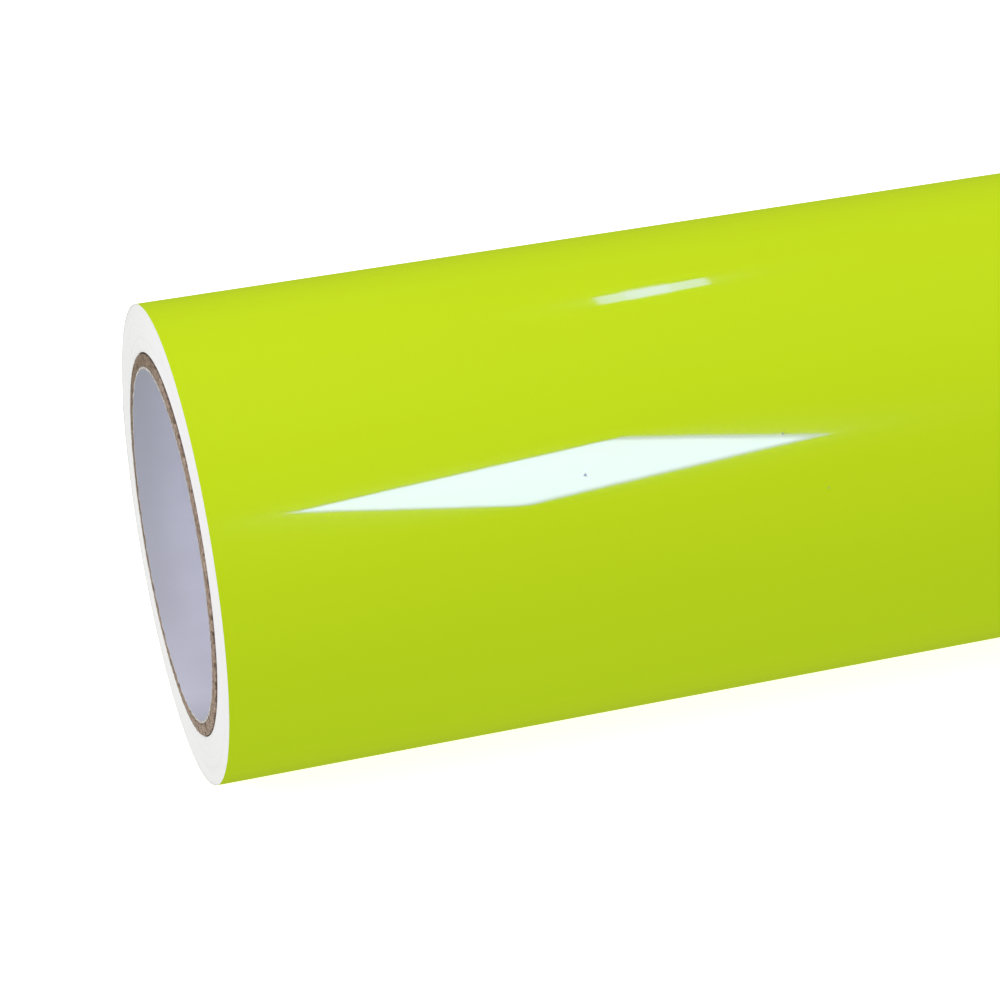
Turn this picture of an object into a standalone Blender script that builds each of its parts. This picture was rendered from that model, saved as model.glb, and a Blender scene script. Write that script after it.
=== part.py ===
"""A roll of glossy vehicle-wrap film on its cardboard core, lying on its side on a floor.

The roll's axis runs along X and Z = 0 is the floor. The film was wound face outwards, and its free end, the
tail, lies low on the back of the roll, the +Y side, held by strips of clear tape.

Inside the roll every sub-part is drawn round a vertical axis, and one empty lays the whole assembly down. An
angle round the roll starts at the side that faces the floor and grows towards the back.
"""

import math

import bpy

# Driving sizes, in metres
FILM_WIDTH = 1.520  # across the film, and so along the roll
FILM_LENGTH = 15.0  # wound on the core
WEB_THICKNESS = 0.00021  # colour film, adhesive and release liner together
BORE_RADIUS = 0.0381  # a 3 inch core
LINING_THICKNESS = 0.0005  # smooth paper ply inside the core
BOARD_THICKNESS = 0.0025  # kraft board plies of the core
LOOSE_LAPS = 2  # whole laps under the tail that belong to the outermost turns
TAPE_COUNT = 3
TAPE_WIDTH = 0.048  # along the roll
TAPE_LENGTH = 0.050  # round the roll, half of it past the tail
TAPE_THICKNESS = 0.0001
TAPE_INSET = 0.170  # from each end of the roll to the middle of the outer strips
CLEARANCE = 0.0003  # between sub-parts that touch in the real roll

# Facets: a whole facet faces the floor, and the corners of all the round parts line up
FACETS = 48
FACET_ANGLE = 2 * math.pi / FACETS
FIRST_CORNER = FACET_ANGLE / 2
TAIL_CORNER = 12  # corners from the floor facet to the tail
TAPE_FACETS = 14

# Radii that follow from the driving sizes
LINING_OUTER_RADIUS = BORE_RADIUS + LINING_THICKNESS
BOARD_INNER_RADIUS = LINING_OUTER_RADIUS + CLEARANCE
CORE_RADIUS = BOARD_INNER_RADIUS + BOARD_THICKNESS
ROLL_RADIUS = math.sqrt(CORE_RADIUS**2 + FILM_LENGTH * WEB_THICKNESS / math.pi)
LOOSE_INNER_RADIUS = ROLL_RADIUS - (1 + LOOSE_LAPS) * WEB_THICKNESS
WOUND_INNER_RADIUS = CORE_RADIUS + CLEARANCE
WOUND_OUTER_RADIUS = LOOSE_INNER_RADIUS - CLEARANCE
TAPE_INNER_RADIUS = ROLL_RADIUS + CLEARANCE

TAIL_ANGLE = FIRST_CORNER + TAIL_CORNER * FACET_ANGLE


def clear_scene():
    """Removes whatever objects the file opened with."""
    for found in list(bpy.data.objects):
        bpy.data.objects.remove(found, do_unlink=True)


def finish(name, colour, roughness, alpha=1.0, coat=0.0):
    """A plain dielectric finish."""
    material = bpy.data.materials.new(name)
    material.use_nodes = True
    shader = material.node_tree.nodes["Principled BSDF"]
    shader.inputs["Base Color"].default_value = (*colour, 1.0)
    shader.inputs["Roughness"].default_value = roughness
    shader.inputs["Metallic"].default_value = 0.0
    shader.inputs["Coat Weight"].default_value = coat
    shader.inputs["Alpha"].default_value = alpha
    material.diffuse_color = (*colour, alpha)
    return material


def on_circle(radius, angle):
    """The point at that radius and angle, in the plane across the roll."""
    return (radius * math.cos(angle), radius * math.sin(angle))


def arc(radius, start, steps, step):
    """Points along a round stretch of an outline, both ends included."""
    return [on_circle(radius, start + k * step) for k in range(steps + 1)]


def spiral_lap(inner_radius, outer_radius, start):
    """One lap that climbs from the inner to the outer radius, both ends included."""
    climb = (outer_radius - inner_radius) / FACETS
    return [on_circle(inner_radius + k * climb, start + k * FACET_ANGLE) for k in range(FACETS + 1)]


def add_piece(name, data, material, collection, roll):
    """Puts an object for one sub-part under the roll's empty."""
    piece = bpy.data.objects.new(name, data)
    data.materials.append(material)
    collection.objects.link(piece)
    piece.parent = roll
    return piece


def add_tube(name, inner_radius, outer_radius, length, material, collection, roll):
    """A plain tube: its wall's section, turned round the roll's axis."""
    half = length / 2
    section = [
        (outer_radius, 0.0, half),
        (outer_radius, 0.0, -half),
        (inner_radius, 0.0, -half),
        (inner_radius, 0.0, half),
    ]
    edges = [(k, (k + 1) % len(section)) for k in range(len(section))]
    mesh = bpy.data.meshes.new(name)
    mesh.from_pydata(section, edges, [])
    piece = add_piece(name, mesh, material, collection, roll)
    piece.rotation_euler = (0.0, 0.0, FIRST_CORNER)
    turn = piece.modifiers.new("turn", "SCREW")
    turn.axis = "Z"
    turn.angle = 2 * math.pi
    turn.steps = FACETS
    turn.render_steps = FACETS
    turn.use_merge_vertices = True
    turn.merge_threshold = 0.00001
    turn.use_smooth_shade = False
    return piece


def add_outline(name, loops, length, material, collection, roll):
    """A flat outline across the roll, with any holes in it, made `length` long."""
    curve = bpy.data.curves.new(name, "CURVE")
    curve.dimensions = "2D"
    curve.fill_mode = "BOTH"
    curve.extrude = length / 2
    for loop in loops:
        spline = curve.splines.new("POLY")
        spline.points.add(len(loop) - 1)
        for point, (x, y) in zip(spline.points, loop):
            point.co = (x, y, 0.0, 1.0)
        spline.use_cyclic_u = True
    return add_piece(name, curve, material, collection, roll)


def add_core(collection, roll):
    """The cardboard core: kraft board plies, and the smooth paper ply that lines the bore."""
    board = finish("kraft_board", (0.300, 0.215, 0.165), 0.90)
    add_tube("core_tube", BOARD_INNER_RADIUS, CORE_RADIUS, FILM_WIDTH, board, collection, roll)
    paper = finish("lining_paper", (0.500, 0.505, 0.590), 0.75)
    add_tube("core_lining", BORE_RADIUS, LINING_OUTER_RADIUS, FILM_WIDTH, paper, collection, roll)


def add_film(collection, roll):
    """The film: the tightly wound web, whose end faces show the liner's edges, and the outermost turns."""
    edges = finish("liner_edges", (0.830, 0.830, 0.825), 0.60)
    add_tube("wound_web", WOUND_INNER_RADIUS, WOUND_OUTER_RADIUS, FILM_WIDTH, edges, collection, roll)
    film = finish("lime_film", (0.530, 0.720, 0.014), 0.08, coat=1.0)
    outside = spiral_lap(ROLL_RADIUS - WEB_THICKNESS, ROLL_RADIUS, TAIL_ANGLE)
    inside = arc(LOOSE_INNER_RADIUS, TAIL_ANGLE, FACETS - 1, FACET_ANGLE)
    add_outline("outer_turns", [outside, inside], FILM_WIDTH, film, collection, roll)
    return outside


def add_tapes(collection, roll):
    """Strips of clear tape, evenly spaced along the roll, that hold the tail down."""
    clear = finish("clear_tape", (0.900, 0.900, 0.880), 0.15, alpha=0.35)
    half_angle = TAPE_LENGTH / 2 / TAPE_INNER_RADIUS
    step = 2 * half_angle / TAPE_FACETS
    start = TAIL_ANGLE - half_angle
    under = arc(TAPE_INNER_RADIUS, start, TAPE_FACETS, step)
    over = arc(TAPE_INNER_RADIUS + TAPE_THICKNESS, start, TAPE_FACETS, step)
    spacing = (FILM_WIDTH - 2 * TAPE_INSET) / (TAPE_COUNT - 1)
    for k in range(TAPE_COUNT):
        strip = add_outline(f"tail_tape_{k + 1}", [over + under[::-1]], TAPE_WIDTH, clear, collection, roll)
        strip.location.z = TAPE_INSET + k * spacing - FILM_WIDTH / 2


def build():
    """Builds the roll and lays it on the floor."""
    clear_scene()
    collection = bpy.data.collections.new("film_roll")
    bpy.context.scene.collection.children.link(collection)
    roll = bpy.data.objects.new("roll_axis", None)
    collection.objects.link(roll)
    add_core(collection, roll)
    outline = add_film(collection, roll)
    add_tapes(collection, roll)
    roll.rotation_euler = (0.0, math.pi / 2, 0.0)
    roll.location.z = max(x for x, _ in outline)
    bpy.context.view_layer.update()


build()
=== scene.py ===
"""A roll of gloss vehicle wrap film on its board core: the looks, the studio and the camera.

The roll lies on the floor with its axis along X. Round the axis, angles start at the floor and
grow towards the back of the roll, and the loose tail of the film is held there with clear tape.
"""

import logging
import math
from collections.abc import Sequence
from dataclasses import dataclass, field, replace
from enum import Enum
from functools import cached_property

import bmesh
import bpy
import numpy as np
from mathutils import Matrix, Vector


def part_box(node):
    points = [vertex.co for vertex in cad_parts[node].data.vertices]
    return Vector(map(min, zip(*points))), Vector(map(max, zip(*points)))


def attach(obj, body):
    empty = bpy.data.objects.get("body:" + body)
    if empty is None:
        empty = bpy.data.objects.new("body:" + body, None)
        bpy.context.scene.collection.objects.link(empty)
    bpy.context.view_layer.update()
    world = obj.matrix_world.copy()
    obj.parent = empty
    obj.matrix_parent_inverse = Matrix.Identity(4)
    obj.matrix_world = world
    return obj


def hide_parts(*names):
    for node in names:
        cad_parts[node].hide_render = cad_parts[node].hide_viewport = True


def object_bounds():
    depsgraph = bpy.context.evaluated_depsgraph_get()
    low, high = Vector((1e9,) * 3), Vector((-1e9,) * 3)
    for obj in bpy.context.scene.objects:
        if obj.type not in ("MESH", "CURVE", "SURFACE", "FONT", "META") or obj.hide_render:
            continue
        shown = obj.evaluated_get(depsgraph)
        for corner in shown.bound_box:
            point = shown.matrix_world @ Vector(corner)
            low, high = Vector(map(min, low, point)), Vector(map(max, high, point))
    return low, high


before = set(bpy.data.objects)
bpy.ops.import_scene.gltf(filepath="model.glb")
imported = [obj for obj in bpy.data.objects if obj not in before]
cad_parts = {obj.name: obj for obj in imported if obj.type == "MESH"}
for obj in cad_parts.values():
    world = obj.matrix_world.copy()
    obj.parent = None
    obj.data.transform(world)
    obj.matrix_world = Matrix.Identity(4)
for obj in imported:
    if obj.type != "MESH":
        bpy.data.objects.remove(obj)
CAD_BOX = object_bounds()

ROLL_BODY = "root"
MM = 0.001
LINING_CAD_WALL = 0.5 * MM
TURN = 2 * math.pi
WAVE_CREST = 1.43  # about how high random waves sum up, over the root of their number
log = logging.getLogger("wrap_film_roll")

Colour = tuple[float, float, float]
Direction = tuple[float, float, float]
Place = tuple[float, float, float]
Socket = bpy.types.NodeSocket


class End(Enum):
    """The two ends of the roll: the sign is the way that the end faces along X."""

    NEAR = -1
    FAR = 1


class Reach(Enum):
    """What a studio light acts on: matt surfaces, or the reflections in glossy ones."""

    MATT = "matt"
    REFLECTION = "reflection"


# ---------------------------------------------------------------------------- measured frame


@dataclass(frozen=True)
class RollFrame:
    """The roll's place and main sizes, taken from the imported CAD.

    Attributes:
        near_x: X of the near end face, in metres.
        far_x: X of the far end face.
        axis_height: height of the roll's axis over the floor.
        film_radius: radius of the film's face at its tail.
        core_radius: outer radius of the board core.
        bore_radius: radius of the hole through the core.
        tail_angle: angle of the film's cut tail round the axis.
        web: thickness of one turn of film with its liner.
    """

    near_x: float
    far_x: float
    axis_height: float
    film_radius: float
    core_radius: float
    bore_radius: float
    tail_angle: float
    web: float

    @classmethod
    def measure(cls, web: float) -> "RollFrame":
        """Reads the sizes off the CAD nodes.

        Args:
            web: thickness of one turn of film with its liner, in metres.

        Returns:
            The measured frame. The film just touches the floor under the axis.
        """
        low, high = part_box("wound_web")
        core_low, core_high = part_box("core_tube")
        bore_low, bore_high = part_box("core_lining")
        height = (core_low.z + core_high.z) / 2
        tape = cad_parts["tail_tape_2"].data.vertices
        middle = sum((v.co for v in tape), Vector()) / len(tape)
        tail = math.atan2(middle.y, height - middle.z)
        floor_radius = height - CAD_BOX[0].z
        return cls(
            near_x=low.x,
            far_x=high.x,
            axis_height=height,
            film_radius=floor_radius + web * tail / TURN,
            core_radius=(core_high.z - core_low.z) / 2,
            bore_radius=(bore_high.z - bore_low.z) / 2 - LINING_CAD_WALL,
            tail_angle=tail,
            web=web,
        )

    def end_x(self, end: End) -> float:
        """X of one end face."""
        return self.near_x if end is End.NEAR else self.far_x

    def place(self, x: np.ndarray, radius: np.ndarray, angle: np.ndarray) -> np.ndarray:
        """Turns roll coordinates into points.

        Args:
            x: places along the axis.
            radius: distances from the axis.
            angle: angles round the axis, in radians.

        Returns:
            Points in metres, with one more dimension than the inputs.
        """
        x, radius, angle = np.broadcast_arrays(x, radius, angle)
        return np.stack(
            [x, radius * np.sin(angle), self.axis_height - radius * np.cos(angle)], axis=-1
        )


# ---------------------------------------------------------------------------- mesh and noise


@dataclass
class Skin:
    """A surface sewn together from grids of points, which may share their edges.

    Attributes:
        points: the grids of points laid so far.
        quads: the four-cornered faces sewn so far.
        finishes: the finish number of each face.
        count: how many points there are.
    """

    points: list[np.ndarray] = field(default_factory=list)
    quads: list[np.ndarray] = field(default_factory=list)
    finishes: list[np.ndarray] = field(default_factory=list)
    count: int = 0

    def lay(self, points: np.ndarray) -> np.ndarray:
        """Lays down a grid of points.

        Args:
            points: an array of shape (..., 3), in metres.

        Returns:
            The points' numbers, in the same grid.
        """
        numbers = self.count + np.arange(points[..., 0].size).reshape(points.shape[:-1])
        self.points.append(points.reshape(-1, 3))
        self.count += numbers.size
        return numbers

    def sew(self, numbers: np.ndarray, finish: int = 0) -> None:
        """Makes faces between neighbours in a grid of point numbers.

        Args:
            numbers: a grid with at least two rows and two columns.
            finish: which of the piece's finishes the faces take.
        """
        corners = (numbers[:-1, :-1], numbers[1:, :-1], numbers[1:, 1:], numbers[:-1, 1:])
        quads = np.stack(corners, axis=-1).reshape(-1, 4)
        self.quads.append(quads)
        self.finishes.append(np.full(len(quads), finish))

    def bridge(self, one: np.ndarray, other: np.ndarray, finish: int = 0) -> None:
        """Joins two lines of points with a strip of faces."""
        self.sew(np.stack([one, other], axis=1), finish)

    def piece(
        self, name: str, materials: Sequence[bpy.types.Material], crease: float = 35.0
    ) -> bpy.types.Object:
        """Finishes the surface as an object.

        Args:
            name: the piece's name.
            materials: the finishes, in the order of their numbers.
            crease: angle between faces, in degrees, from which an edge stays sharp.

        Returns:
            The new object.
        """
        used, numbers = np.unique(np.concatenate(self.quads), return_inverse=True)
        mesh = bpy.data.meshes.new(name)
        points = np.concatenate(self.points)[used]
        mesh.from_pydata(points.tolist(), [], numbers.reshape(-1, 4).tolist())
        mesh.polygons.foreach_set("material_index", np.concatenate(self.finishes).astype("i"))
        solid = bmesh.new()
        solid.from_mesh(mesh)
        bmesh.ops.recalc_face_normals(solid, faces=solid.faces)
        solid.to_mesh(mesh)
        solid.free()
        mesh.shade_smooth()
        mesh.set_sharp_from_angle(angle=math.radians(crease))
        for material in materials:
            mesh.materials.append(material)
        made = bpy.data.objects.new(name, mesh)
        bpy.context.scene.collection.objects.link(made)
        return made


@dataclass(frozen=True)
class Ripple:
    """A smooth, repeatable unevenness: a sum of waves over two directions.

    Attributes:
        seed: fixes the waves.
        size: about the greatest departure either way, in metres.
        first: range of wave counts in the first direction, in radians per unit.
        second: range of wave counts in the second direction.
        waves: how many waves are summed.
        whole: the second direction closes on itself, so its wave counts are whole numbers.
    """

    seed: int
    size: float
    first: tuple[float, float]
    second: tuple[float, float]
    waves: int = 14
    whole: bool = False

    def at(self, one: np.ndarray, two: np.ndarray) -> np.ndarray:
        """The departure at each pair of places.

        Args:
            one: places in the first direction.
            two: places in the second direction.

        Returns:
            Departures in metres.
        """
        chance = np.random.default_rng(self.seed)
        total = np.zeros(np.broadcast(one, two).shape)
        for _ in range(self.waves):
            a = chance.uniform(*self.first)
            b = chance.uniform(*self.second) * chance.choice([-1.0, 1.0])
            b = round(b) if self.whole else b
            total = total + chance.uniform(0.3, 1.0) * np.cos(
                a * one + b * two + chance.uniform(0, TURN)
            )
        return total * self.size / (WAVE_CREST * self.waves**0.5)


def put_on_roll(made: bpy.types.Object, node: str = "") -> bpy.types.Object:
    """Makes a finished piece ride on the roll.

    Args:
        made: the piece.
        node: the CAD node that it stands for, if any.

    Returns:
        The piece.
    """
    if node:
        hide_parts(node)
    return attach(made, ROLL_BODY)


# ---------------------------------------------------------------------------- finishes


class Wiring:
    """A node tree and the few moves that it is wired with."""

    def __init__(self, tree: bpy.types.NodeTree) -> None:
        """Takes up a node tree.

        Args:
            tree: the node tree of a material or of the surroundings.
        """
        self.tree = tree

    def wire(self, socket: Socket, value: object) -> None:
        """Links a socket, or sets its value where the value is plain.

        Args:
            socket: the input socket.
            value: another node's output socket, or a plain value.
        """
        if isinstance(value, bpy.types.NodeSocket):
            self.tree.links.new(value, socket)
        else:
            socket.default_value = value

    def add(self, kind: str, wires: dict[object, object], **settings: object) -> bpy.types.Node:
        """Adds a node.

        Args:
            kind: the node's type.
            wires: values or sockets for its inputs, by name or number.
            **settings: the node's own properties.

        Returns:
            The node.
        """
        node = self.tree.nodes.new(kind)
        for name, value in settings.items():
            setattr(node, name, value)
        for name, value in wires.items():
            self.wire(node.inputs[name], value)
        return node

    def maths(self, operation: str, *values: object) -> Socket:
        """The result of one arithmetic step on numbers or sockets."""
        wires = dict(enumerate(values))
        return self.add("ShaderNodeMath", wires, operation=operation).outputs[0]

    def window(self, value: Socket, low: float, high: float) -> Socket:
        """A smooth step from 0 to 1.

        Args:
            value: what is tested.
            low: the value at which the step starts.
            high: the value at which it ends, which may be the smaller of the two.

        Returns:
            The step.
        """
        wires = {"Value": value, "From Min": low, "From Max": high}
        step = self.add("ShaderNodeMapRange", wires, interpolation_type="SMOOTHSTEP")
        return step.outputs[0]

    def blend(self, share: object, one: object, other: object) -> Socket:
        """Mixes two colours.

        Args:
            share: how much of the second colour, from 0 to 1.
            one: the first colour.
            other: the second colour.

        Returns:
            The mixed colour.
        """
        node = self.tree.nodes.new("ShaderNodeMix")
        node.data_type = "RGBA"
        for number, value in ((0, share), (6, one), (7, other)):
            if isinstance(value, tuple):
                value = (*value, 1.0)
            self.wire(node.inputs[number], value)
        return node.outputs[2]


class Bench(Wiring):
    """A material being wired, with the roll's own coordinates, noises and reliefs."""

    def __init__(self, name: str) -> None:
        """Starts a material.

        Args:
            name: the material's name.
        """
        self.material = bpy.data.materials.new(name)
        self.material.use_nodes = True
        super().__init__(self.material.node_tree)
        self.shader = self.tree.nodes["Principled BSDF"]

    def set(self, **values: object) -> None:
        """Sets or links the shader's sockets.

        Args:
            **values: plain values, colours or sockets, named with underscores for spaces.
        """
        for name, value in values.items():
            if isinstance(value, tuple) and len(value) == 3:
                value = (*value, 1.0)
            self.wire(self.shader.inputs[name.replace("_", " ")], value)

    def coordinates(self) -> Socket:
        """The place on the roll, in metres."""
        return self.add("ShaderNodeTexCoord", {}).outputs["Object"]

    def round_axis(self, roll: RollFrame) -> tuple[Socket, Socket, Socket]:
        """Roll coordinates of the shaded point.

        Args:
            roll: the measured roll.

        Returns:
            Distance along the axis, distance from it, and turns round it from the floor.
        """
        parts = self.add("ShaderNodeSeparateXYZ", {0: self.coordinates()}).outputs
        down = self.maths("SUBTRACT", roll.axis_height, parts["Z"])
        square = self.maths("MULTIPLY", parts["Y"], parts["Y"])
        radius = self.maths("SQRT", self.maths("MULTIPLY_ADD", down, down, square))
        turns = self.maths("DIVIDE", self.maths("ARCTAN2", parts["Y"], down), TURN)
        return parts["X"], radius, turns

    def depth_in(self, roll: RollFrame, x: Socket) -> Socket:
        """Distance in from the nearer end of the roll, at a distance along its axis."""
        half_width = (roll.far_x - roll.near_x) / 2
        return self.maths("SUBTRACT", half_width, self.maths("ABSOLUTE", x))

    def stretched(self, x: float, y: float, z: float) -> Socket:
        """The place on the roll, scaled by a different amount each way."""
        wires = {"Vector": self.coordinates(), "Scale": (x, y, z)}
        return self.add("ShaderNodeMapping", wires).outputs[0]

    def noise(
        self, scale: float, detail: float = 2.0, rough: float = 0.5, at: Socket | None = None
    ) -> Socket:
        """Cloudy noise from 0 to 1.

        Args:
            scale: how many clouds to the metre.
            detail: how many finer layers there are.
            rough: how strong the finer layers are.
            at: where it is read, the place on the roll unless given.

        Returns:
            The noise.
        """
        wires = {"Vector": at or self.coordinates(), "Scale": scale, "Detail": detail}
        wires["Roughness"] = rough
        return self.add("ShaderNodeTexNoise", wires).outputs[0]

    def relief(self, height: Socket, depth: float, under: Socket | None = None) -> Socket:
        """A fine relief on the surface.

        Args:
            height: the relief's shape, from 0 to 1.
            depth: its depth in metres.
            under: a coarser relief that it lies on.

        Returns:
            The normal.
        """
        wires = {"Height": height, "Distance": depth, "Strength": 1.0}
        if under is not None:
            wires["Normal"] = under
        return self.add("ShaderNodeBump", wires).outputs[0]


@dataclass(frozen=True)
class GlossFilm:
    """Gloss cast vinyl: deep colour under a clear, slightly uneven skin.

    Attributes:
        colour: the pigment.
        deep: the pigment where it lies a little thicker.
        coat_roughness: softness of the clear skin's mirror.
        peel_depth: height of the fine unevenness in the skin, in metres.
        slow_depth: height of the slow unevenness.
    """

    colour: Colour = (0.575, 0.76, 0.0125)
    deep: Colour = (0.56, 0.742, 0.011)
    coat_roughness: float = 0.032
    peel_depth: float = 0.00045 * MM
    slow_depth: float = 0.01 * MM

    def material(self) -> bpy.types.Material:
        """The film's finish.

        Returns:
            The material.
        """
        bench = Bench("gloss_film")
        cloud = bench.noise(9.0, 3.0, at=bench.stretched(0.5, 1.0, 1.0))
        slow = bench.relief(bench.noise(45.0, 1.0), self.slow_depth)
        peel = bench.relief(bench.noise(900.0, 2.0), self.peel_depth, slow)
        bench.set(
            Base_Color=bench.blend(bench.window(cloud, 0.35, 0.65), self.colour, self.deep),
            Roughness=0.14,
            IOR=1.5,
            Specular_IOR_Level=0.06,
            Coat_Weight=1.0,
            Coat_Roughness=self.coat_roughness,
            Coat_IOR=1.5,
            Coat_Normal=peel,
            Normal=slow,
        )
        return bench.material


@dataclass(frozen=True)
class LinerEdges:
    """The cut edges of the wound film: white release liner with the film's thin edge between.

    Attributes:
        roll: the measured roll.
        liner: the liner's cut edge.
        shade: the dark joint between two turns.
        film: the film's cut edge.
    """

    roll: RollFrame
    liner: Colour = (0.868, 0.845, 0.866)
    shade: Colour = (0.72, 0.715, 0.70)
    film: Colour = (0.835, 0.82, 0.815)

    def material(self) -> bpy.types.Material:
        """The finish of the roll's end faces.

        Returns:
            The material.
        """
        bench = Bench("slit_liner_edges")
        _, radius, turns = bench.round_axis(self.roll)
        depth = bench.maths("SUBTRACT", self.roll.film_radius, radius)
        laps = bench.maths("ADD", bench.maths("DIVIDE", depth, self.roll.web), turns)
        lap = bench.maths("FRACT", bench.maths("ADD", laps, 20.0))
        white = bench.blend(bench.window(lap, 0.42, 0.30), self.liner, self.film)
        tight = bench.window(bench.noise(420.0, 2.0), 0.35, 0.7)
        joint = bench.maths("MULTIPLY", bench.window(lap, 0.93, 1.0), tight)
        rings = {0: bench.maths("MULTIPLY", radius, 900.0), 1: turns}
        bands = bench.noise(1.0, 3.0, 0.6, bench.add("ShaderNodeCombineXYZ", rings).outputs[0])
        dust = bench.maths("MULTIPLY", bench.window(bands, 0.45, 0.8), 0.35)
        dusty = bench.blend(dust, white, self.shade)
        fuzz = bench.relief(bench.noise(2600.0, 3.0, 0.6), 0.012 * MM)
        bench.set(
            Base_Color=bench.blend(joint, dusty, self.shade),
            Roughness=0.7,
            Specular_IOR_Level=0.06,
            Normal=fuzz,
        )
        return bench.material


@dataclass(frozen=True)
class LinerBack:
    """The smooth white back of the release liner, which shows under the lifted tail.

    Attributes:
        paper: the liner's colour.
        grid: the faint grey of its pressed air channels.
    """

    paper: Colour = (0.84, 0.84, 0.83)
    grid: Colour = (0.76, 0.76, 0.75)

    def material(self) -> bpy.types.Material:
        """The liner's finish.

        Returns:
            The material.
        """
        bench = Bench("liner_back")
        wires = {"Vector": bench.coordinates(), "Scale": 520.0}
        cells = bench.add("ShaderNodeTexVoronoi", wires, feature="DISTANCE_TO_EDGE")
        line = bench.window(cells.outputs[0], 0.12, 0.02)
        bench.set(
            Base_Color=bench.blend(line, self.paper, self.grid),
            Roughness=0.38,
            Specular_IOR_Level=0.4,
            Normal=bench.relief(line, 0.008 * MM),
        )
        return bench.material


@dataclass(frozen=True)
class KraftBoard:
    """Grey-brown core board, spirally wound and saw cut, with its plies and loose fibres.

    Attributes:
        roll: the measured roll.
        board: the common colour of the cut face.
        dark: the colour of glue lines and deep pores, and of the painted shade at the rims and on
            one side of the cut face.
        pale: the colour of lifted fibres.
        ply: thickness of one ply of the board, in metres.
        shade_depth: depth from the end past which the wall is painted dark as shade, down in its gap
            against the film.
        shade_centre: where the painted shade on the cut face is darkest, in turns from the floor.
    """

    roll: RollFrame
    board: Colour = (0.268, 0.195, 0.151)
    dark: Colour = (0.105, 0.068, 0.05)
    pale: Colour = (0.47, 0.357, 0.295)
    ply: float = 0.42 * MM
    shade_depth: float = 0.5 * MM
    shade_centre: float = 0.3

    def material(self) -> bpy.types.Material:
        """The board's finish.

        Returns:
            The material.
        """
        bench = Bench("sawn_kraft_board")
        x, radius, turns = bench.round_axis(self.roll)
        scaled = ((turns, 260.0), (radius, 2400.0), (x, 60.0))
        place = {i: bench.maths("MULTIPLY", value, scale) for i, (value, scale) in enumerate(scaled)}
        fibres = bench.noise(0.9, 4.0, 0.65, bench.add("ShaderNodeCombineXYZ", place).outputs[0])
        clumps = bench.noise(620.0, 3.0, 0.6)
        wander = bench.maths("MULTIPLY_ADD", bench.noise(160.0, 2.0), 1.6,
                             bench.maths("DIVIDE", radius, self.ply))
        line = bench.maths("PINGPONG", wander, 0.5)
        body = bench.blend(bench.window(fibres, 0.4, 0.6), self.board, self.pale)
        glue = bench.maths("MULTIPLY", bench.window(line, 0.14, 0.0), 0.75)
        plied = bench.blend(glue, body, self.dark)
        pits = bench.maths("MULTIPLY", bench.window(clumps, 0.5, 0.64), 0.8)
        pitted = bench.blend(pits, plied, self.dark)
        # painted shade: dark down the wall, in its gap against the film, and on the cut face next to
        # the bore, broken up by noise
        depth = bench.depth_in(self.roll, x)
        outer = bench.window(depth, self.shade_depth - 0.15 * MM, self.shade_depth)
        bore = self.roll.bore_radius
        inner = bench.window(radius, bore + 0.85 * MM, bore + 0.5 * MM)
        rim_shade = bench.maths("MULTIPLY", bench.maths("MAXIMUM", outer, inner),
                             bench.window(bench.noise(240.0, 2.0), 0.15, 0.5))
        # painted shade: the cut face darkens round one side, towards the back just above the axis
        off_shade_centre = bench.maths("ABSOLUTE", bench.maths("SUBTRACT", turns, self.shade_centre))
        side_shade = bench.window(off_shade_centre, 0.26, 0.1)
        shaded_board = bench.maths("MAXIMUM", bench.maths("MULTIPLY", rim_shade, 0.8),
                             bench.maths("MULTIPLY", side_shade, 0.42))
        coarse = bench.relief(clumps, 0.16 * MM)
        bench.set(
            Base_Color=bench.blend(shaded_board, pitted, self.dark),
            Roughness=0.92,
            Specular_IOR_Level=0.12,
            Normal=bench.relief(fibres, 0.09 * MM, coarse),
        )
        return bench.material


@dataclass(frozen=True)
class LiningPaper:
    """The cool grey-white paper that lines the bore, wound on as a helix.

    Attributes:
        roll: the measured roll.
        paper: the paper's colour.
        shade: its colour where it is thin.
        end_shade: its greyer colour inside the mouths, painted shade on all but the lowest side.
        shade_reach: how far in the painted shade reaches, in metres.
        pitch: how far the helix climbs in one turn.
    """

    roll: RollFrame
    paper: Colour = (0.80, 0.80, 0.925)
    shade: Colour = (0.72, 0.715, 0.82)
    end_shade: Colour = (0.585, 0.585, 0.66)
    shade_reach: float = 11 * MM
    pitch: float = 118 * MM

    def material(self) -> bpy.types.Material:
        """The finish of the bore.

        Returns:
            The material.
        """
        bench = Bench("bore_paper")
        x, _, turns = bench.round_axis(self.roll)
        climb = bench.maths("ADD", bench.maths("DIVIDE", x, self.pitch), turns)
        seam = bench.maths("PINGPONG", climb, 0.5)
        ridge = bench.window(seam, 0.012, 0.002)
        cloud = bench.noise(34.0, 4.0, 0.6, bench.stretched(0.35, 1.0, 1.0))
        fibres = bench.noise(1900.0, 3.0, 0.6)
        worn = bench.blend(bench.window(cloud, 0.36, 0.7), self.paper, self.shade)
        depth = bench.depth_in(self.roll, x)
        # painted shade: greyer near each end of the bore, on all but its lowest side
        raised = bench.window(bench.maths("ABSOLUTE", turns), 0.0, 0.11)
        shade_share = bench.maths("MULTIPLY", bench.window(depth, self.shade_reach, 0.0), raised)
        paper_shaded = bench.blend(shade_share, worn, self.end_shade)
        fine = bench.blend(bench.maths("MULTIPLY", fibres, 0.22), paper_shaded, self.shade)
        step = bench.relief(ridge, 0.06 * MM)
        bench.set(
            Base_Color=bench.blend(bench.maths("MULTIPLY", ridge, 0.5), fine, self.shade),
            Roughness=0.6,
            Specular_IOR_Level=0.3,
            Normal=bench.relief(fibres, 0.02 * MM, step),
        )
        return bench.material


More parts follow.
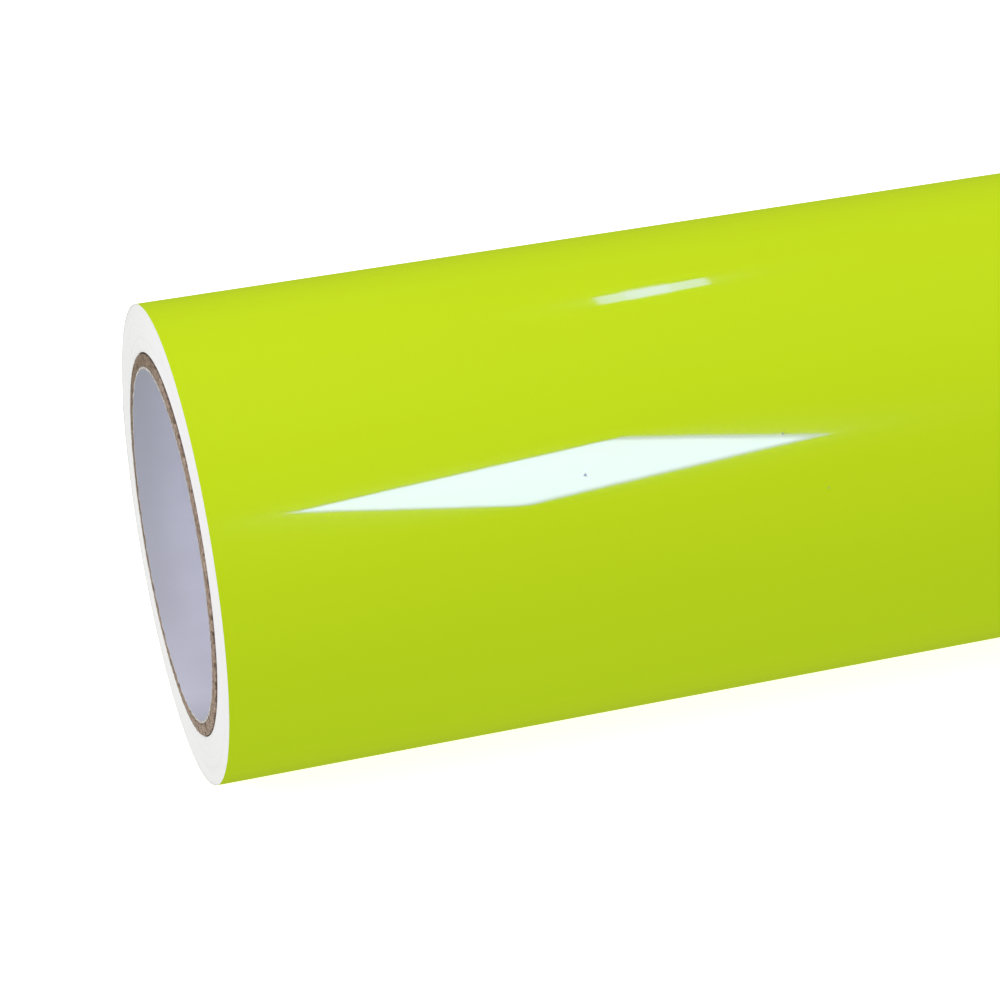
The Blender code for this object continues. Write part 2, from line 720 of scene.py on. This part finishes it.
@dataclass(frozen=True)
class CutPaper:
    """The white torn-fibre edge of the lining, where the saw went through it.

    Attributes:
        edge: the edge's colour.
        dirt: the brown dust that sits in it.
    """

    edge: Colour = (0.66, 0.64, 0.62)
    dirt: Colour = (0.36, 0.28, 0.235)

    def material(self) -> bpy.types.Material:
        """The finish of the lining's cut edge.

        Returns:
            The material.
        """
        bench = Bench("cut_paper")
        flecks = bench.noise(900.0, 4.0, 0.65)
        bench.set(
            Base_Color=bench.blend(bench.window(flecks, 0.44, 0.6), self.edge, self.dirt),
            Roughness=0.9,
            Specular_IOR_Level=0.15,
            Normal=bench.relief(flecks, 0.07 * MM),
        )
        return bench.material


@dataclass(frozen=True)
class ClearTape:
    """Clear packing tape with a few trapped air streaks.

    Attributes:
        tint: the tape's faint colour.
        haze: the paler colour of trapped air.
    """

    tint: Colour = (0.72, 0.77, 0.40)
    haze: Colour = (0.88, 0.89, 0.84)

    def material(self) -> bpy.types.Material:
        """The tape's finish.

        Returns:
            The material.
        """
        bench = Bench("packing_tape")
        air = bench.window(bench.noise(150.0, 3.0, 0.6, bench.stretched(1.0, 0.4, 0.4)), 0.58, 0.7)
        bench.set(
            Base_Color=bench.blend(air, self.tint, self.haze),
            Alpha=bench.maths("MULTIPLY_ADD", air, 0.16, 0.05),
            Roughness=0.12,
            IOR=1.5,
            Specular_IOR_Level=0.6,
            Normal=bench.relief(bench.noise(300.0, 2.0), 0.008 * MM),
        )
        return bench.material


@dataclass(frozen=True)
class StudioFloor:
    """The pale seamless floor, which glows a little so that shadows stay faint.

    Attributes:
        colour: the floor's colour.
        glow: how much light it gives by itself.
    """

    colour: Colour = (0.9, 0.9, 0.9)
    glow: float = 0.8

    def material(self) -> bpy.types.Material:
        """The floor's finish.

        Returns:
            The material.
        """
        bench = Bench("studio_floor")
        bench.set(
            Base_Color=self.colour,
            Roughness=0.9,
            Specular_IOR_Level=0.0,
            Emission_Color=(1.0, 1.0, 1.0),
            Emission_Strength=self.glow,
        )
        return bench.material


# ---------------------------------------------------------------------------- the core


@dataclass
class BoardCore:
    """The board tube that the film is wound on, with the paper that lines its bore.

    Attributes:
        roll: the measured roll.
        slack: gap between the board and the first turn of film.
        lining_wall: thickness of the lining paper.
        glue: gap between the lining and the board, which stands for their glue.
        torn_back: how far the lining's torn edge lies inside the board's end.
        segments: facets round the tube.
        rings: rings of points across the cut face of the board.
        edge_round: how far the board's sawn corners are worn back.
        dish: how far the sawn face falls back from the bore to its rim.
        fuzz: height of the fibres that stand out of the cut face.
    """

    roll: RollFrame
    slack: float = 0.15 * MM
    lining_wall: float = 0.45 * MM
    glue: float = 0.05 * MM
    torn_back: float = 0.09 * MM
    segments: int = 480
    rings: int = 11
    edge_round: float = 0.16 * MM
    dish: float = 0.03 * MM
    fuzz: float = 0.13 * MM

    def closed_turn(self) -> np.ndarray:
        """Angles of one whole turn, without the last, which is the first again."""
        return TURN * np.arange(self.segments) / self.segments

    def turned(self, skin: Skin, sections: np.ndarray) -> np.ndarray:
        """Lays a closed tube from its sections.

        Args:
            skin: the surface to lay it in.
            sections: points of shape (angles, stations, 3), round a closed outline.

        Returns:
            Point numbers, with the first row and the first column repeated at the end.
        """
        numbers = skin.lay(sections)
        numbers = np.concatenate([numbers, numbers[:1]], axis=0)
        return np.concatenate([numbers, numbers[:, :1]], axis=1)

    def board(self) -> bpy.types.Object:
        """Builds the board tube.

        Returns:
            The object core_board.
        """
        inner = self.roll.bore_radius + self.lining_wall + self.glue
        outer = self.roll.core_radius - self.slack
        radius = np.linspace(inner, outer, self.rings)
        edge = np.minimum(radius - inner, outer - radius) / self.edge_round
        worn = self.edge_round * np.clip(1 - edge, 0, 1) ** 2
        worn = worn + self.dish * (radius - inner) / (outer - inner)
        angle = self.closed_turn()[:, None]
        faces = []
        for end, seed in ((End.NEAR, 21), (End.FAR, 22)):
            fibres = Ripple(seed, self.fuzz, (2500.0, 9000.0), (20.0, 220.0), 24, whole=True)
            lumps = fibres.at(radius[None, :], angle)
            back = np.abs(lumps) + worn[None, :] * (1 + 0.8 * np.sin(lumps / self.fuzz * 3))
            x = self.roll.end_x(end) - end.value * back
            faces.append(self.roll.place(x, radius[None, :], angle))
        near, far = faces
        skin = Skin()
        skin.sew(self.turned(skin, np.concatenate([near, far[:, ::-1]], axis=1)))
        made = skin.piece("core_board", [KraftBoard(self.roll).material()], crease=60.0)
        return put_on_roll(made, "core_tube")

    def lining(self) -> bpy.types.Object:
        """Builds the lining of the bore.

        Returns:
            The object bore_lining.
        """
        roll = self.roll
        inner, outer = roll.bore_radius, roll.bore_radius + self.lining_wall
        angle = self.closed_turn()[:, None]
        torn = Ripple(31, self.torn_back, (0.0, 1.0), (9.0, 90.0), 20, whole=True)
        wander = Ripple(32, 0.06 * MM, (3.0, 22.0), (1.0, 4.0), 12, whole=True)
        back = np.clip(self.torn_back + torn.at(np.zeros((1, 1)), angle), 0, None)
        x = np.linspace(roll.near_x, roll.far_x, 26)[None, :] + np.zeros_like(angle)
        x[:, :1] = roll.near_x + back
        x[:, -1:] = roll.far_x - back
        slip = wander.at(x, angle)
        wall = roll.place(x, inner + slip, angle)
        lip, rim = (
            roll.place(x[:, [0, -1]], np.full((1, 1), radius), angle)
            for radius in (outer - 0.1 * MM, outer)
        )
        ring = np.concatenate([wall, lip[:, 1:], rim[:, 1:], rim[:, :1], lip[:, :1]], axis=1)
        skin = Skin()
        numbers = self.turned(skin, ring)
        last = wall.shape[1]
        skin.sew(numbers[:, :last], 0)
        skin.sew(numbers[:, last - 1 : last + 2], 1)
        skin.sew(numbers[:, last + 1 : last + 3], 0)
        skin.sew(numbers[:, last + 2 :], 1)
        paper, cut = LiningPaper(roll).material(), CutPaper().material()
        made = skin.piece("bore_lining", [paper, cut], crease=50.0)
        return put_on_roll(made, "core_lining")

    def build(self) -> list[bpy.types.Object]:
        """Builds the board and its lining."""
        return [self.board(), self.lining()]


# ---------------------------------------------------------------------------- the film


@dataclass
class FilmWinding:
    """The film on its liner, wound as one long spiral with its loose tail at the back.

    Attributes:
        roll: the measured roll.
        tape_centres: where along the axis the tail is taped down.
        loose_laps: how many laps the outer piece has, from the tail inwards.
        film: thickness of the film without its liner.
        air: gap under the outer laps.
        set_back: how far the film's ends lie inside the ends of the core.
        segments: facets in one lap.
        threads: points across the edge of one turn.
        groove: depth of the joint between two turns.
        lift: how far the free tail stands off.
        held: how far to each side of its middle a tape holds the tail down.
        fade: how far back from its edge the tail stands off.
        fine_arc: the arc behind the tail that has closer rows, in radians.
        sunk: how far the outer face lies inside its spiral, so that its waves stay within it.
        proud: how far the ends of the outer laps stand out past those of the tight turns.
        parting: gap between the back of one outer lap and the face of the next.
        core_gap: least gap between the first turn and the core.
    """

    roll: RollFrame
    tape_centres: Sequence[float]
    loose_laps: float = 1.1
    film: float = 0.085 * MM
    air: float = 0.04 * MM
    set_back: float = 0.52 * MM
    segments: int = 256
    threads: int = 3
    groove: float = 0.035 * MM
    lift: float = 0.45 * MM
    held: float = 62 * MM
    fade: float = 5.5 * MM
    fine_arc: float = 0.32
    sunk: float = 0.016 * MM
    proud: float = 0.04 * MM
    parting: float = 0.012 * MM
    core_gap: float = 0.02 * MM

    @cached_property
    def finishes(self) -> list[bpy.types.Material]:
        """The finishes of the slit edges, the film's face and the liner's back."""
        return [LinerEdges(self.roll).material(), GlossFilm().material(), LinerBack().material()]

    def spiral(self, wound: np.ndarray) -> np.ndarray:
        """Radius of the film's face at an angle wound inwards from the tail."""
        return self.roll.film_radius - self.roll.web * wound / TURN

    def end_depth(self, wound: np.ndarray, share: np.ndarray) -> np.ndarray:
        """How far the edge of the film lies inside the roll's end.

        Args:
            wound: angles wound inwards from the tail.
            share: places across one turn, from 0 at its face to 1 at its back.

        Returns:
            Depths in metres.
        """
        weave = Ripple(41, 0.035 * MM, (0.13, 1.9), (0.0, 0.0), 16).at(wound, np.zeros(1))
        drift = Ripple(42, 0.05 * MM, (0.004, 0.03), (0.0, 0.0), 5).at(wound, np.zeros(1))
        joint = self.groove * np.clip(1 - 3 * np.minimum(share, 1 - share), 0, 1)
        return self.set_back + weave + drift + joint

    def end_face(self, end: End, wound: np.ndarray, share: np.ndarray) -> np.ndarray:
        """Points on an end face of the tight turns.

        Args:
            end: which end.
            wound: angles wound inwards from the tail.
            share: places across one turn, from 0 at its face to 1 at its back.

        Returns:
            Points in metres.
        """
        x = self.roll.end_x(end) - end.value * self.end_depth(wound, share)
        radius = self.spiral(wound) - self.air - self.roll.web * share
        return self.roll.place(x, radius, self.roll.tail_angle - wound)

    def turns(self) -> bpy.types.Object:
        """Builds the tight turns between the core and the outer laps.

        Returns:
            The object wound_turns.
        """
        roll, lap, across = self.roll, self.segments, self.threads
        face = self.spiral(np.zeros(1))[0] - self.air
        laps = (face - roll.core_radius - self.core_gap) / roll.web - 1 - self.loose_laps
        rows = int(laps * lap) + 1
        wound = self.loose_laps * TURN + TURN * np.arange(rows)[:, None] / lap
        share = np.arange(across)[None, :] / across
        skin = Skin()
        ends = {}
        for end in End:
            grid = np.empty((rows, across + 1), dtype=int)
            grid[:, :across] = skin.lay(self.end_face(end, wound, share))
            grid[: rows - lap, across] = grid[lap:, 0]
            innermost = self.end_face(end, wound[-lap:], np.ones((1, 1)))
            grid[rows - lap :, across:] = skin.lay(innermost)
            skin.sew(grid, 0)
            ends[end] = grid
        near, far = ends[End.NEAR], ends[End.FAR]
        skin.bridge(near[: lap + 1, 0], far[: lap + 1, 0], 1)
        skin.bridge(near[0], far[0], 1)
        skin.bridge(near[rows - lap - 1 :, across], far[rows - lap - 1 :, across], 2)
        skin.bridge(near[-1], far[-1], 1)
        made = skin.piece("wound_turns", self.finishes, crease=50.0)
        return put_on_roll(made, "wound_web")

    def tail_lift(self, x: np.ndarray, wound: np.ndarray) -> np.ndarray:
        """How far the film stands off near its cut tail, between the tapes.

        Args:
            x: places along the axis.
            wound: angles wound inwards from the tail.

        Returns:
            Heights in metres.
        """
        free = np.ones_like(x)
        for centre in self.tape_centres:
            free = free * (1 - np.exp(-(((x - centre) / self.held) ** 4)))
        flutter = 0.7 + 0.3 * np.cos(x * 23.0 + 1.3) * np.cos(x * 7.1)
        along = wound * self.roll.film_radius
        return self.lift * free * flutter * np.exp(-along / self.fade)

    def outer_laps(self) -> bpy.types.Object:
        """Builds the outer laps, whose face is the one that shows.

        Returns:
            The object outer_laps.
        """
        roll = self.roll
        near_tail = np.linspace(0, self.fine_arc, 15)[:-1]
        rest = np.linspace(self.fine_arc, self.loose_laps * TURN, 268)
        wound = np.concatenate([near_tail, rest])[:, None]
        x = np.linspace(roll.near_x, roll.far_x, 119)
        x = np.concatenate([x[:1], x[:1] + 2 * MM, x[1:-1], x[-1:] - 2 * MM, x[-1:]])[None, :]
        bands = Ripple(51, 0.014 * MM, (18.0, 95.0), (0.0, 3.4), 18, whole=True)
        angle = roll.tail_angle - wound
        wave = bands.at(x, angle)
        face = self.spiral(wound) + wave + self.tail_lift(x, wound) - self.sunk
        waver = Ripple(52, 0.03 * MM, (0.4, 2.2), (0.0, 0.0), 8).at(wound, 0 * wound)
        inset = self.set_back - self.proud + waver
        stations = x + np.zeros_like(wound)
        stations[:, :1] = roll.near_x + inset
        stations[:, -1:] = roll.far_x - inset
        skin = Skin()
        layers = [
            skin.lay(roll.place(stations, face - depth, angle))
            for depth in (0.0, self.film, roll.web - self.parting)
        ]
        skin.sew(layers[0], 1)
        skin.sew(layers[2], 2)
        for part in (np.s_[:, 0], np.s_[:, -1], np.s_[0], np.s_[-1]):
            skin.bridge(layers[0][part], layers[1][part])
            skin.bridge(layers[1][part], layers[2][part])
        made = skin.piece("outer_laps", self.finishes, crease=50.0)
        return put_on_roll(made, "outer_turns")

    def build(self) -> list[bpy.types.Object]:
        """Builds the tight turns and the outer laps."""
        return [self.turns(), self.outer_laps()]


# ---------------------------------------------------------------------------- the tapes


@dataclass
class TailTapes:
    """Short strips of clear tape that hold the film's tail down.

    Attributes:
        winding: the film that they hold.
        width: width of the tape, along the roll.
        length: length of each strip, round the roll.
        thickness: thickness of the tape.
        bridge: how far the tape spans beside the tail's step.
        tooth: pitch of the saw-toothed cut.
        bite: depth of its teeth.
        clearance: gap between the tape and the film, which stands for its glue.
    """

    winding: FilmWinding
    width: float = 48 * MM
    length: float = 50 * MM
    thickness: float = 0.06 * MM
    bridge: float = 1.8 * MM
    tooth: float = 1.6 * MM
    bite: float = 0.45 * MM
    clearance: float = 0.012 * MM

    @cached_property
    def finish(self) -> bpy.types.Material:
        """The tape's finish, which all the strips share."""
        return ClearTape().material()

    def under(self, arc: np.ndarray) -> np.ndarray:
        """Radius of the tape's underside.

        Args:
            arc: distance round the roll past the tail, in metres; the film is on the minus side.

        Returns:
            Radii in metres.
        """
        roll = self.winding.roll
        turned = arc / roll.film_radius
        face = roll.film_radius + roll.web * turned / TURN
        past = np.clip(arc / self.bridge, 0, 1)
        return face - roll.web * past**2 * (3 - 2 * past) + self.clearance

    def strip(self, number: int, centre: float) -> bpy.types.Object:
        """Builds one strip.

        Args:
            number: the strip's number, from 1.
            centre: its middle along the roll.

        Returns:
            The object tape_strip_NUMBER.
        """
        roll = self.winding.roll
        teeth = 2 * round(self.width / self.tooth)
        x = centre + np.linspace(-0.5, 0.5, teeth + 1)[None, :] * self.width
        rows = ((-0.5, -0.04, 16), (-0.03, 0.06, 12), (0.08, 0.5, 14))
        arc = np.concatenate([np.linspace(*row) for row in rows])[:, None] * self.length
        arc = arc + np.zeros_like(x)
        saw = np.where(np.arange(teeth + 1) % 2, self.bite, 0.0)
        arc[0] -= saw
        arc[-1] += saw
        skew = 0.012 * (x - centre) * (1 if number % 2 else -1.6)
        angle = roll.tail_angle + (arc + skew) / roll.film_radius
        skin = Skin()
        layers = [
            skin.lay(roll.place(x + 0 * angle, self.under(arc + skew) + rise, angle))
            for rise in (0.0, self.thickness)
        ]
        for layer in layers:
            skin.sew(layer)
        for part in (np.s_[:, 0], np.s_[:, -1], np.s_[0], np.s_[-1]):
            skin.bridge(layers[0][part], layers[1][part])
        made = skin.piece(f"tape_strip_{number}", [self.finish], crease=50.0)
        return put_on_roll(made, f"tail_tape_{number}")

    def build(self) -> list[bpy.types.Object]:
        """Builds all the strips."""
        return [self.strip(i, x) for i, x in enumerate(self.winding.tape_centres, 1)]


# ---------------------------------------------------------------------------- dust


@dataclass(frozen=True)
class PaperDust:
    """Grey crumbs of slit liner.

    Attributes:
        crumb: the crumb's colour.
        dark: its colour in the folds.
    """

    crumb: Colour = (0.50, 0.56, 0.50)
    dark: Colour = (0.30, 0.35, 0.31)

    def material(self) -> bpy.types.Material:
        """The crumbs' finish.

        Returns:
            The material.
        """
        bench = Bench("paper_dust")
        folds = bench.noise(3200.0, 2.0)
        bench.set(
            Base_Color=bench.blend(bench.window(folds, 0.4, 0.6), self.crumb, self.dark),
            Roughness=0.95,
            Specular_IOR_Level=0.0,
            Normal=bench.relief(folds, 0.04 * MM),
        )
        return bench.material


@dataclass
class Dust:
    """A few crumbs of liner dust that cling to the film after slitting.

    Attributes:
        winding: the film that they lie on.
        places: for each crumb, its distance from the near end, its angle round the axis in
            degrees and its half width.
        thickness: how thick a crumb is.
        points: points round a crumb's outline.
    """

    winding: FilmWinding
    places: Sequence[tuple[float, float, float]] = (
        (78.4 * MM, -124.92, 0.42 * MM),
        (121.6 * MM, -126.7, 0.26 * MM),
        (129.9 * MM, -112.6, 0.2 * MM),
        (431.0 * MM, -148.0, 0.35 * MM),
        (902.0 * MM, -101.0, 0.4 * MM),
    )
    thickness: float = 0.07 * MM
    points: int = 36

    def crumb(self, skin: Skin, place: tuple[float, float, float], turn: float) -> None:
        """Adds one three-cornered crumb.

        Args:
            skin: the surface to add it to.
            place: its distance from the near end, angle in degrees and half width.
            turn: how far it is turned, in radians.
        """
        roll = self.winding.roll
        along, degrees, half = place
        angle = math.radians(degrees)
        ground = self.winding.spiral(np.array([roll.tail_angle - angle]))[0]
        round_it = TURN * np.arange(self.points)[:, None] / self.points
        reach = np.array([0.02, 0.45, 0.8, 1.0, 0.8, 0.45, 0.02])[None, :]
        outline = half * (0.62 + 0.3 * np.cos(3 * round_it) + 0.12 * np.cos(5 * round_it + 1.0))
        rise = self.thickness * np.array([1.0, 0.95, 0.75, 0.35, 0.05, 0.0, 0.0])[None, :]
        side = outline * reach
        x = roll.near_x + along + side * np.cos(round_it + turn)
        arc = angle + side * np.sin(round_it + turn) / ground
        crumple = 1 + 0.35 * np.cos(4 * round_it + 2.0)
        numbers = skin.lay(roll.place(x, ground + 0.002 * MM + rise * crumple, arc))
        numbers = np.concatenate([numbers, numbers[:1]], axis=0)
        skin.sew(numbers)

    def build(self) -> list[bpy.types.Object]:
        """Builds the crumbs as one piece.

        Returns:
            The object liner_dust, in a list.
        """
        skin = Skin()
        for number, place in enumerate(self.places):
            self.crumb(skin, place, 0.9 + 1.7 * number)
        made = skin.piece("liner_dust", [PaperDust().material()], crease=70.0)
        return [put_on_roll(made)]


# ---------------------------------------------------------------------------- the studio


@dataclass(frozen=True)
class Panel:
    """A rectangular studio light.

    Attributes:
        name: the light's name.
        centre: its middle, in metres.
        across: direction of its first side.
        facing: the way that it shines.
        size: its two sides, in metres, the first of them across.
        strength: its radiance.
        colour: its colour.
        reach: what it acts on.
    """

    name: str
    centre: Place
    across: Direction
    facing: Direction
    size: tuple[float, float]
    strength: float
    colour: Colour
    reach: Reach

    def build(self) -> bpy.types.Object:
        """Hangs the light.

        Returns:
            The light's object.
        """
        light = bpy.data.lights.new(self.name, "AREA")
        light.shape = "RECTANGLE"
        light.size, light.size_y = self.size
        light.energy = self.strength * math.pi * self.size[0] * self.size[1]
        light.color = self.colour
        hung = bpy.data.objects.new(self.name, light)
        back = -Vector(self.facing).normalized()
        across = Vector(self.across)
        across = (across - back * across.dot(back)).normalized()
        turn = Matrix((across, back.cross(across), back)).transposed()
        hung.matrix_world = Matrix.Translation(self.centre) @ turn.to_4x4()
        hung.visible_camera = False
        hung.visible_glossy = self.reach is Reach.REFLECTION
        hung.visible_diffuse = self.reach is Reach.MATT
        hung.visible_transmission = self.reach is Reach.MATT
        bpy.context.scene.collection.objects.link(hung)
        return hung


@dataclass
class Studio:
    """The floor, the soft lights and the even white surroundings.

    Attributes:
        floor_half: half the side of the floor.
        backdrop: the surroundings as they are seen.
        sky: their light from above, on matt surfaces.
        ground: their light from below, on matt surfaces.
        mirrored: the surroundings in reflections, flagged off with cloth near the film's colour.
    """

    floor_half: float = 9.0
    backdrop: Colour = (1.0, 1.0, 1.0)
    sky: Colour = (0.66, 0.66, 0.67)
    ground: Colour = (0.835, 0.885, 0.86)
    mirrored: Colour = (0.46, 0.60, 0.03)

    def panels(self) -> list[Panel]:
        """Lists the studio's lights.

        Returns:
            The two softboxes with their soft rims, the strips and the matt lights.
        """
        softbox = Panel("long_softbox", (-0.372, -0.935, 0.764), (0.178, -0.330, -0.140),
                        (0.553, 0.561, -0.616), (0.368, 0.291), 9.6,
                        (0.67, 0.81, 1.0), Reach.REFLECTION)
        rim = replace(softbox, name="softbox_rim", centre=(-0.365, -0.940, 0.765),
                      size=(0.398, 0.316), strength=12.0, colour=(0.11, 0.0, 1.0))
        square = Panel("square_softbox", (-0.233, 0.762, 1.219), (0.770, 0.615, 0.171),
                       (0.616, -0.646, -0.451), (0.125, 0.151), 7.9,
                       (0.27, 0.23, 1.0), Reach.REFLECTION)
        spill = replace(square, name="square_softbox_spill", centre=(-0.236, 0.765, 1.221),
                        size=(0.05, 0.21), strength=3.2)
        overhead = Panel("overhead_bank", (-0.2, 0.3, 2.2), (1.0, 0.0, 0.0),
                         (0.0, -0.1, -1.0), (2.6, 1.6), 1.0,
                         (1.0, 1.0, 1.0), Reach.MATT)
        fill = Panel("end_fill", (-2.9, -0.5, 1.25), (0.0, 1.0, 0.0),
                     (2.14, 0.5, -1.2), (1.2, 1.2), 5.0,
                     (1.0, 0.985, 1.0), Reach.MATT)
        return [softbox, rim, square, spill, *self.strips(), overhead, fill]

    def strips(self) -> list[Panel]:
        """Lists the strip lights beyond the roll's two ends, front and back, that streak its gloss.

        Returns:
            The four strips.
        """
        return [
            Panel(f"{side_name}_strip_{end_name}", (middle, 0.95 * side, 0.78),
                  (1.0, 0.0, 0.0), (0.0, -0.77 * side, -0.63), (1.1, 0.13), 9.0,
                  (0.62, 0.62, 1.0), Reach.REFLECTION)
            for side, side_name in ((-1, "front"), (1, "back"))
            for middle, end_name in ((-1.40, "near"), (1.05, "far"))
        ]

    def floor(self) -> bpy.types.Object:
        """Lays the floor.

        Returns:
            The object studio_floor, which does not ride on the roll.
        """
        side = np.linspace(-self.floor_half, self.floor_half, 9)
        x, y = np.meshgrid(side, side, indexing="ij")
        skin = Skin()
        skin.sew(skin.lay(np.stack([x, y, np.full_like(x, CAD_BOX[0].z)], axis=-1)))
        laid = skin.piece("studio_floor", [StudioFloor().material()])
        laid.visible_glossy = False
        laid.visible_diffuse = False
        return laid

    def surroundings(self) -> None:
        """Wires the world: white to look at, softer as light and coloured in reflections."""
        world = bpy.data.worlds.new("studio")
        bpy.context.scene.world = world
        world.use_nodes = True
        wiring = Wiring(world.node_tree)
        path = wiring.add("ShaderNodeLightPath", {}).outputs
        way = wiring.add("ShaderNodeTexCoord", {}).outputs["Generated"]
        rise = wiring.add("ShaderNodeSeparateXYZ", {0: way}).outputs["Z"]
        matt = wiring.blend(wiring.window(rise, -0.05, 0.05), self.ground, self.sky)
        lit = wiring.blend(path["Is Glossy Ray"], matt, self.mirrored)
        seen = wiring.blend(path["Is Camera Ray"], lit, self.backdrop)
        wiring.wire(world.node_tree.nodes["Background"].inputs["Color"], seen)

    def build(self) -> None:
        """Lays the floor, hangs the lights and wires the surroundings."""
        self.floor()
        for panel in self.panels():
            panel.build()
        self.surroundings()
        bpy.context.scene.view_settings.view_transform = "Standard"


@dataclass
class Viewpoint:
    """The camera, close over the near end of the roll.

    Attributes:
        roll: the measured roll.
        stand: the camera's place from the middle of the near end, in metres.
        aim: the way that it looks.
        lens: its focal length in millimetres.
    """

    roll: RollFrame
    stand: Place = (-0.09882, -0.56245, 0.39329)
    aim: Direction = (0.24271, 0.79316, -0.55857)
    lens: float = 116.7

    def build(self) -> bpy.types.Object:
        """Sets up the camera and makes it the scene's own.

        Returns:
            The camera's object.
        """
        camera = bpy.data.cameras.new("studio_camera")
        camera.lens, camera.sensor_width = self.lens, 36.0
        camera.clip_start, camera.clip_end = 0.02, 60.0
        held = bpy.data.objects.new("studio_camera", camera)
        centre = Vector((self.roll.near_x, 0.0, self.roll.axis_height))
        held.location = centre + Vector(self.stand)
        held.rotation_mode = "QUATERNION"
        held.rotation_quaternion = Vector(self.aim).to_track_quat("-Z", "Y")
        bpy.context.scene.collection.objects.link(held)
        bpy.context.scene.camera = held
        return held


# ---------------------------------------------------------------------------- everything


def tape_places() -> list[float]:
    """Middles of the tail tapes along the axis, from the CAD."""
    names = sorted(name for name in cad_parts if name.startswith("tail_tape_"))
    return [sum(corner.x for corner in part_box(name)) / 2 for name in names]


def main() -> None:
    """Builds the roll, the studio and the camera, in that order."""
    logging.basicConfig(level=logging.INFO, format="%(message)s")
    roll = RollFrame.measure(web=0.21 * MM)
    winding = FilmWinding(roll, tape_places())
    for assembly in (BoardCore(roll), winding, TailTapes(winding), Dust(winding)):
        for made in assembly.build():
            log.info("%s: %s, %d faces", type(assembly).__name__, made.name, len(made.data.polygons))
    Studio().build()
    Viewpoint(roll).build()


if __name__ == "__main__":
    main()
